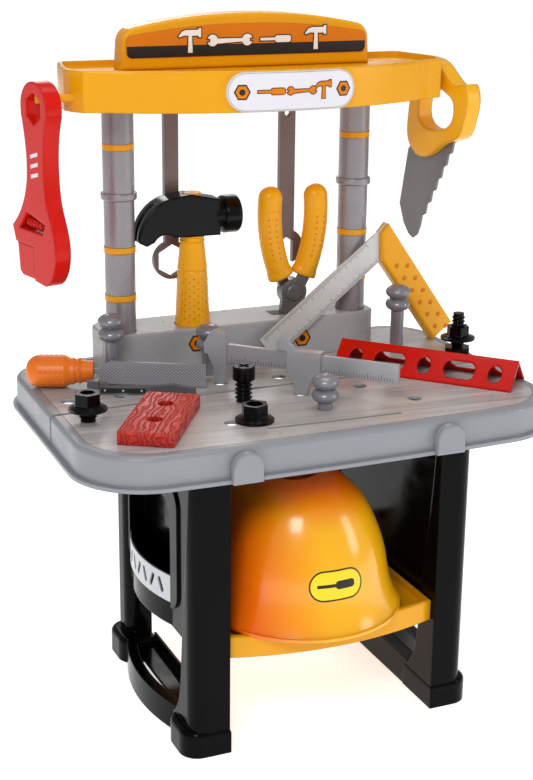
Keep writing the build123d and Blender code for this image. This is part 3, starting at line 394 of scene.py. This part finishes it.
LOOKS = {
    "bench_grey": ["tabletop", "table_clips"],
    "rack_grey": ["tool_rack"],
    "post_grey": ["left_post_lower", "right_post_lower", "left_post_upper", "right_post_upper"],
    "peg_grey": ["left_peg", "middle_peg", "right_peg", "front_peg"],
    "calliper_grey": ["calliper_beam", "calliper_slider"],
    "boards": ["table_label_front", "table_label_rear"],
    "black": ["left_side_panel", "right_side_panel"],
    "bolt_black": ["flanged_bolt", "cross_screw", "flange_nut", "stood_bolt", "stood_bolt_nut"],
    "band_silver": ["left_fret_band", "right_fret_band"],
    "yellow": ["shelf", "beam", "sign_board", "left_post_rings", "right_post_rings"],
    "hat": ["hard_hat"],
    "tool_yellow": ["hammer_handle", "pliers_left_grip", "pliers_right_grip", "square_stock"],
    "saw_yellow": ["saw_handle"],
    "hammer_black": ["hammer_head"],
    "orange": ["file_handle"],
    "red": ["angle_strip", "wrench_body", "wrench_jaw", "wrench_worm"],
    "plank_red": ["plank"],
    "steel": ["ring_spanner", "open_spanner"],
    "blade_steel": ["saw_blade"],
    "jaw_steel": ["pliers_left_jaw", "pliers_right_jaw", "pliers_pivot"],
    "rule": ["square_blade"],
    "file": ["file_blade"],
    "holder": ["blade_holder"],
    "print_orange": ["sign_label"],
    "plaque": ["beam_plaque"],
}


def dress_cad():
    """Gives each of the record's own nodes its finish."""
    for look, names in LOOKS.items():
        for name in names:
            obj = NODES[name]
            for i in range(len(obj.data.materials)):
                obj.data.materials[i] = MATS[look]
            if not obj.data.materials:
                obj.data.materials.append(MATS[look])


# ------------------------------------------------------------------ mesh helpers, in millimetres


def add_mesh(name, verts, faces, look, body, smooth=False):
    mesh = bpy.data.meshes.new(name)
    mesh.from_pydata([Vector(v) * MM for v in verts], [], faces)
    bm = bmesh.new()
    bm.from_mesh(mesh)
    bmesh.ops.recalc_face_normals(bm, faces=bm.faces)
    bm.to_mesh(mesh)
    bm.free()
    for poly in mesh.polygons:
        poly.use_smooth = smooth
    mesh.materials.append(MATS[look])
    obj = bpy.data.objects.new(name, mesh)
    bpy.context.collection.objects.link(obj)
    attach(obj, body)
    return obj


class Shape:
    """Closed bits of one piece, gathered before they become a mesh."""

    def __init__(self):
        self.verts = []
        self.faces = []

    def add(self, verts, faces):
        start = len(self.verts)
        self.verts += [Vector(v) for v in verts]
        self.faces += [tuple(start + i for i in face) for face in faces]

    def plate(self, loops, place, low=-0.15, high=0.3, step=6.0):
        """A thin plate from flat outlines, later ones being holes, laid on a surface by place(u, w, d)."""
        flat = bmesh.new()
        rings = [[Vector((u, w, 0)) for u, w in loop] for loop in loops]
        corners = [flat.verts.new(v) for ring in rings for v in ring]
        for tri in geometry.tessellate_polygon(rings):
            flat.faces.new([corners[i] for i in tri])
        for _ in range(5):
            long_edges = [e for e in flat.edges if e.calc_length() > step]
            if not long_edges:
                break
            bmesh.ops.subdivide_edges(flat, edges=long_edges, cuts=1)
            bmesh.ops.triangulate(flat, faces=flat.faces[:])
        bmesh.ops.remove_doubles(flat, verts=flat.verts[:], dist=1e-4)
        bmesh.ops.recalc_face_normals(flat, faces=flat.faces[:])
        flat.verts.index_update()
        count = len(flat.verts)
        verts = [place(v.co.x, v.co.y, high) for v in flat.verts]
        verts += [place(v.co.x, v.co.y, low) for v in flat.verts]
        faces = []
        for face in flat.faces:
            ids = [v.index for v in face.verts]
            faces.append(tuple(ids))
            faces.append(tuple(count + i for i in reversed(ids)))
        for edge in flat.edges:
            if len(edge.link_faces) == 1:
                a, b = (v.index for v in edge.verts)
                faces.append((a, b, count + b, count + a))
        flat.free()
        self.add(verts, faces)

    def turned(self, profile, place, count=32):
        """A body turned round the place's own upright line; profile runs (radius, height)."""
        verts, faces = [], []
        for r, h in profile:
            for i in range(count):
                a = 2 * math.pi * i / count
                verts.append(place(r * math.cos(a), r * math.sin(a), h))
        last = len(profile) - 1
        for k in range(last):
            for i in range(count):
                j = (i + 1) % count
                faces.append((k * count + i, k * count + j, (k + 1) * count + j, (k + 1) * count + i))
        faces.append(tuple(range(count - 1, -1, -1)))
        faces.append(tuple(last * count + i for i in range(count)))
        self.add(verts, faces)

    def stud(self, centre, normal, radius, height=0.35):
        """A low domed dot on a surface."""
        self.turned(
            [(radius, -0.3), (radius, 0.0), (radius * 0.8, height * 0.7), (radius * 0.4, height)],
            facing(centre, normal), 10)

    def make(self, name, look, body, smooth=False):
        return add_mesh(name, self.verts, self.faces, look, body, smooth)


def facing(centre, normal):
    """A place whose third axis is the normal."""
    centre, normal = Vector(centre), Vector(normal).normalized()
    side = normal.orthogonal().normalized()
    over = normal.cross(side)
    return lambda u, w, d: centre + u * side + w * over + d * normal


def wall(x, y, turn, lean=0.0):
    """An upright face through (x, y): u runs level at the angle turn, w is height, d comes out of it."""
    a = math.radians(turn)
    along = Vector((math.cos(a), math.sin(a), 0))
    out = Vector((math.sin(a), -math.cos(a), lean))
    base = Vector((x, y, 0))
    return lambda u, w, d: base + u * along + Vector((0, 0, w)) + d * out


def arc(cx, cy, r, a0, a1, count=14):
    angles = [math.radians(a0 + (a1 - a0) * i / count) for i in range(count + 1)]
    return [(cx + r * math.cos(a), cy + r * math.sin(a)) for a in angles]


def disc(cx, cy, r, count=36):
    return arc(cx, cy, r, 0, 360, count)[:-1]


def stroke(points, width, closed=False):
    """A line of a given width as one outline, or as an outer and an inner loop when closed."""
    pts = [Vector(p) for p in points]
    n = len(pts)
    left, right = [], []
    for i, p in enumerate(pts):
        a = pts[(i - 1) % n] if closed or i else p
        b = pts[(i + 1) % n] if closed or i < n - 1 else p
        before = (p - a).normalized() if (p - a).length else (b - p).normalized()
        after = (b - p).normalized() if (b - p).length else before
        normal = Vector((-(before + after).y, (before + after).x)).normalized()
        fit = max(0.45, normal.dot(Vector((-after.y, after.x))))
        left.append(tuple(p + normal * width / 2 / fit))
        right.append(tuple(p - normal * width / 2 / fit))
    if closed:
        return [left, right]
    return [left + right[::-1]]


def moved(points, dx, dy, scale=1.0):
    return [(dx + scale * x, dy + scale * y) for x, y in points]


# ------------------------------------------------------------------ printed pictures

SPANNER_ICON = (
    [(-20, -2), (-16, -2)] + arc(-21, 0, 6.5, -35, -160, 8) + [(-24, -1.8), (-24, 1.8)]
    + arc(-21, 0, 6.5, 160, 35, 8) + [(-15, 2), (15, 2)] + arc(21, 0, 6.5, 160, 20, 8)
    + [(24, 1.8), (24, -1.8)] + arc(21, 0, 6.5, -20, -160, 8) + [(15, -2)]
)[2:]
HAMMER_ICON = [(-2.6, -12), (2.6, -12), (2, 5), (9, 5), (9, 3.4), (12, 3.4), (12, 12.6), (9, 12.6),
               (9, 11), (-4, 11), (-9, 9.5), (-13, 4.5), (-12, 3.6), (-6, 5.4), (-2, 5)]
DRIVER_ICON = [(-18, -1.4), (-1, -1.4), (-1, -2.4), (1, -3.6), (15, -3.6), (17, -2), (17, 2),
               (15, 3.6), (1, 3.6), (-1, 2.4), (-1, 1.4), (-18, 1.4)]


def nut_print(black, orange, face, cx, cy, r):
    """A plain hexagon nut: dark rim, orange face and dark hole."""
    black.plate([disc(cx, cy, r, 6)], face, -0.1, 0.2, 4)
    orange.plate([disc(cx, cy, r * 0.82, 6)], face, -0.1, 0.34, 4)
    black.plate([disc(cx, cy, r * 0.36, 24)], face, -0.1, 0.48, 4)


def print_sign():
    """A straight dark band along the label's foot, and four plain tool shapes."""
    face = wall(0, frame_y("sign_label"), 0)
    band = [(-134.4, 680), (134.4, 680), (134.4, 673)] + arc(129, 673.6, 5.2, -20, -90, 5) + arc(
        -129, 673.6, 5.2, -90, -175, 5)
    black, white, rim = Shape(), Shape(), Shape()
    black.plate([band], face, -0.1, 0.16)
    for icon, x, z, size in ((HAMMER_ICON, -66, SIGN_ICON_Z, 1.0), (SPANNER_ICON, -22, 684, 0.92),
                             (DRIVER_ICON, 30, 684, 1.0), (HAMMER_ICON, 76, SIGN_ICON_Z, 1.0)):
        shape = moved(icon, x, z, size)
        rim.plate([offset_outline(shape, 1.1)], face, -0.1, 0.27)
        white.plate([shape], face, -0.1, 0.45)
    black.make("sign_black_band", "ink", BENCH)
    rim.make("sign_icon_rims", "ink", BENCH)
    white.make("sign_white_print", "white", BENCH)


def frame_y(node):
    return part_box(node)[0].y / MM


def offset_outline(points, grow):
    """The outline pushed outwards, whichever way round it runs."""
    pts = [Vector(p) for p in points]
    n = len(pts)
    area = sum(pts[i].x * pts[(i + 1) % n].y - pts[(i + 1) % n].x * pts[i].y for i in range(n))
    sign = 1 if area > 0 else -1
    out = []
    for i, p in enumerate(pts):
        before = (p - pts[i - 1]).normalized()
        after = (pts[(i + 1) % n] - p).normalized()
        normal = Vector(((before + after).y, -(before + after).x)).normalized() * sign
        fit = max(0.6, normal.dot(Vector((after.y, -after.x)) * sign))
        out.append(tuple(p + normal * grow / fit))
    return out


def on_node(node, direction, plane):
    """Lays d millimetres out from the CAD node's surface, seen along a level direction."""
    obj = NODES[node]
    ahead = Vector(direction).normalized()

    def place(u, w, d):
        start = plane(u, w, 0)
        hit, where, normal, _ = obj.ray_cast((start - ahead * 300) * MM, ahead)
        if not hit:
            return start - d * ahead
        return where / MM + d * normal

    return place


def print_plaque():
    face = on_node("beam_plaque", (0, 1, 0), wall(PLAQUE_X, 0, 0))
    black, orange, rim = Shape(), Shape(), Shape()
    edge, inner = (
        arc(50.5, PLAQUE_Z, r, -90, 90, 18) + arc(-50.5, PLAQUE_Z, r, 90, 270, 18) for r in (18.9, 17.9))
    rim.plate([edge, inner], face, -0.1, 0.15, 5)
    for x in (-54.8, 56.4):
        nut_print(black, orange, face, x, PLAQUE_Z, NUT_PRINT_R)
    for icon, x, size in ((DRIVER_ICON, -24, 0.82), (SPANNER_ICON, 8.5, 0.6), (HAMMER_ICON, 33, 0.72)):
        shape = moved(icon, x, 641.5, size)
        black.plate([offset_outline(shape, 0.8)], face, -0.1, 0.2, 4)
        orange.plate([shape], face, -0.1, 0.4, 4)
    rim.make("plaque_border", "band_silver", BENCH)
    black.make("plaque_black_print", "ink", BENCH)
    orange.make("plaque_orange_print", "print_orange", BENCH)


def file_and_wrench():
    """Raised dots on the file's handle and three plain stripes on the wrench."""
    turn = math.radians(FILE_TURN)
    along = Vector((math.cos(turn), math.sin(turn), 0))
    level = Vector((along.y, -along.x, 0))
    dots = Shape()
    for column in range(8):
        a = math.radians(45 * column + 12)
        out = math.cos(a) * level + math.sin(a) * Vector((0, 0, 1))
        for row in range(5):
            at = Vector(FILE_END) + along * (16 + 5.2 * row + 2.6 * (column % 2)) + out * 16.95
            dots.stud(at, out, 1.5, 0.5)
    dots.make("file_handle_dots", "orange", "file", True)
    face = wall(*WRENCH_AT)
    stripes = Shape()
    for z in (556, 566, 576):
        stripes.plate([[(-7, z), (8, z + 4), (8, z + 8), (-7, z + 4)]], face, -0.15, 0.25)
    stripes.make("wrench_stripes", "plaque", "wrench")


def print_rack():
    black, orange = Shape(), Shape()
    face = wall(0, frame_y("tool_rack"), 0)
    for x, z in RACK_PRINTS:
        nut_print(black, orange, face, x, z, 10.5)
    black.make("rack_black_print", "ink", BENCH)
    orange.make("rack_orange_print", "print_orange", BENCH)


def hat_place(centre_angle, centre_z):
    """Millimetres round the hat and up it, from a point of its crown."""
    obj = NODES["hard_hat"]

    def place(u, w, d):
        a = math.radians(centre_angle) + u / HAT_R
        out = Vector((math.cos(a), math.sin(a), 0))
        start = Vector((*HAT_AXIS, centre_z + w)) + out * 200
        hit, where, normal, _ = obj.ray_cast(start * MM, -out)
        if not hit:
            return start - out * 112 + d * out
        return where / MM + d * normal

    return place


def print_hat():
    """A plain rounded patch with a dark border and one tool shape."""
    face = hat_place(*HAT_LABEL)
    patch = arc(17, 2, 14.5, -90, 90, 14) + arc(-11, 2, 14.5, 90, 270, 14)
    yellow, black = Shape(), Shape()
    yellow.plate([patch], face, -0.2, 0.12, 4)
    black.plate(stroke(patch, 1.5, True), face, -0.2, 0.24, 3)
    black.plate([moved(DRIVER_ICON, 3, 2, 1.15)], face, -0.2, 0.24, 4)
    yellow.make("hat_label_yellow", "print_yellow", "hard_hat")
    black.make("hat_label_black", "ink", "hard_hat")


def dot_grips():
    """Rows of small moulded dots on the hammer's handle, and its rings."""
    dots = Shape()
    x, y = HAMMER_AT
    for column in range(10):
        a = math.radians(-160 + 16 * column + 8)
        for row in range(7):
            z = 384 + 7.2 * row + 3.6 * (column % 2)
            r = 19 - (z - 380) * 0.0456
            out = Vector((math.cos(a), math.sin(a), 0.045))
            dots.stud((x + r * out.x, y + r * out.y, z), out, 1.0)
    dots.make("hammer_grip_dots", "tool_yellow", "hammer", True)
    ring = Shape()
    for z, r in ((471, 13.3), (475.6, 13.0)):
        ring.turned([(r - 1.5, -1.1), (r, -1.1), (r + 0.5, 0), (r, 1.1), (r - 1.5, 1.1)],
                    facing((x, y, z), (0, 0, 1)), 40)
    ring.make("hammer_collar_rings", "tool_yellow", "hammer", True)


def pliers_dots():
    """Dot rows, a ring line and a flared cuff on each grip."""
    for side, body in ((1, "pliers_right_half"), (-1, "pliers_left_half")):
        dots, cuff, line = Shape(), Shape(), Shape()
        for row in range(8):
            t = 0.24 + 0.075 * row
            centre, along = grip_line(t, side)
            out = Vector((0, -1, 0))
            across = along.cross(out).normalized()
            for shift in (-0.22, 0.42):
                direction = (out * math.cos(shift) + across * side * math.sin(shift)).normalized()
                at = (centre + out * GRIP_DEPTH * math.cos(shift)
                      + across * side * GRIP_HALF_WIDTH * math.sin(shift))
                dots.stud(at, direction, 1.2, 0.4)
        centre, along = grip_line(0.035, side)
        cuff.turned([(9, 9), (12.4, 9.0), (13.6, 4), (14.9, -2), (15.3, -5), (14.6, -7.2), (11.5, -8)],
                    facing(centre, along), 36)
        centre, along = grip_line(0.86, side)
        line.turned([(10, -0.9), (13.0, -0.9), (13.5, 0), (13.0, 0.9), (10, 0.9)],
                    facing(centre, along), 36)
        for part, squeeze in ((cuff, 0.8), (line, 0.9)):
            mid = PLIERS_PIVOT[1]
            part.verts = [Vector((v.x, mid + (v.y - mid) * squeeze, v.z)) for v in part.verts]
        word = "right" if side > 0 else "left"
        dots.make(f"pliers_{word}_grip_dots", "orange", body, True)
        cuff.make(f"pliers_{word}_cuff", "tool_yellow", body, True)
        line.make(f"pliers_{word}_ring", "tool_yellow", body, True)


def grip_line(t, side):
    """A point on the grip's middle line and the direction there."""
    px, py, pz = PLIERS_PIVOT
    a, b, c = (Vector((px + side * x, py, pz + z)) for x, z in ((15, 22), (26, 62), (27.5, 107)))
    control = 2 * b - (a + c) / 2
    point = (1 - t) ** 2 * a + 2 * t * (1 - t) * control + t * t * c
    ahead = 2 * (1 - t) * (control - a) + 2 * t * (c - control)
    return point, ahead.normalized()


def rule_marks():
    """Fine divisions along both edges of the square's blade, and on the calliper's beam."""
    ticks = Shape()
    corner, slope = SQUARE_CORNER, math.radians(SQUARE_SLOPE)
    plane = wall(*SQUARE_AT)

    def on_blade(u, w, d):
        x = corner[0] + u * math.cos(slope) - w * math.sin(slope)
        z = corner[1] + u * math.sin(slope) + w * math.cos(slope)
        return plane(x, z, d + 1.1)

    for i in range(92):
        w = -36 - 1.75 * i
        long = 7.5 if i % 10 == 0 else (5.5 if i % 5 == 0 else 3.6)
        for u0, u1 in ((0.8, 0.8 + long), (29.2 - long, 29.2)):
            ticks.plate([[(u0, w), (u1, w), (u1, w + 0.42), (u0, w + 0.42)]], on_blade, 0, 0.1, 20)
    ticks.make("square_divisions", "ink_grey", "square")
    studs = Shape()
    for i in range(12):
        centre = on_blade(46 + 9.6 * i, -10 if i % 2 else -21, 5.9)
        studs.stud(centre, plane(0, 0, 1) - plane(0, 0, 0), 2.9, 0.5)
    studs.make("square_stock_dots", "print_orange", "square", True)
    scale = Shape()
    beam_plane = wall(*CALLIPER_AT)
    low = CALLIPER_SCALE_Z
    for i in range(60):
        u = 14 + 3.0 * i
        tall = 6 if i % 5 == 0 else 3.6
        if CALLIPER_SLIDER[0] < u < CALLIPER_SLIDER[1]:
            continue
        scale.plate([[(u, low), (u + 0.6, low), (u + 0.6, low + tall), (u, low + tall)]],
                    beam_plane, 2.45, 2.62, 20)
    scale.make("calliper_divisions", "ink_grey", "calliper")


def small_marks():
    """The blade holder's dark slot and its three bright dots."""
    holder = wall(*HOLDER_AT)
    slot, dots = Shape(), Shape()
    slot.plate([[(14, 336.2), (60, 336.2), (60, 341.2), (14, 341.2)]], holder, 2.3, 2.7, 20)
    for u in (18, 37, 56):
        dots.stud(holder(u, 338.7, 2.6), holder(0, 0, 1) - holder(0, 0, 0), 1.3, 0.5)
    slot.make("blade_holder_black_slot", "ink", "blade_holder")
    dots.make("blade_holder_dots", "band_silver", "blade_holder", True)


def lay_floor():
    """A wide pale floor, lit a little from itself so that the bench stands on near-white."""
    a = FLOOR_HALF
    mesh = bpy.data.meshes.new("floor")
    mesh.from_pydata([(-a, -a, 0), (a, -a, 0), (a, a, 0), (-a, a, 0)], [], [(0, 1, 2, 3)])
    ground = bpy.data.objects.new("floor", mesh)
    bpy.context.collection.objects.link(ground)
    g = Graph("floor_pale")
    tone = g.mix(g.spread(g.noise(2.0, 3), 0, 1), srgb(246, 246, 246), srgb(252, 252, 252))
    g.link(tone, g.shader.inputs["Base Color"])
    g.shader.inputs["Roughness"].default_value = 0.8
    g.shader.inputs["Specular IOR Level"].default_value = 0.1
    g.shader.inputs["Emission Color"].default_value = (1.0, 1.0, 1.0, 1.0)
    g.shader.inputs["Emission Strength"].default_value = 0.68
    mesh.materials.append(g.mat)


set_camera()
set_studio()
dress_cad()
print_sign()
print_plaque()
print_rack()
file_and_wrench()
print_hat()
dot_grips()
pliers_dots()
rule_marks()
small_marks()
lay_floor()
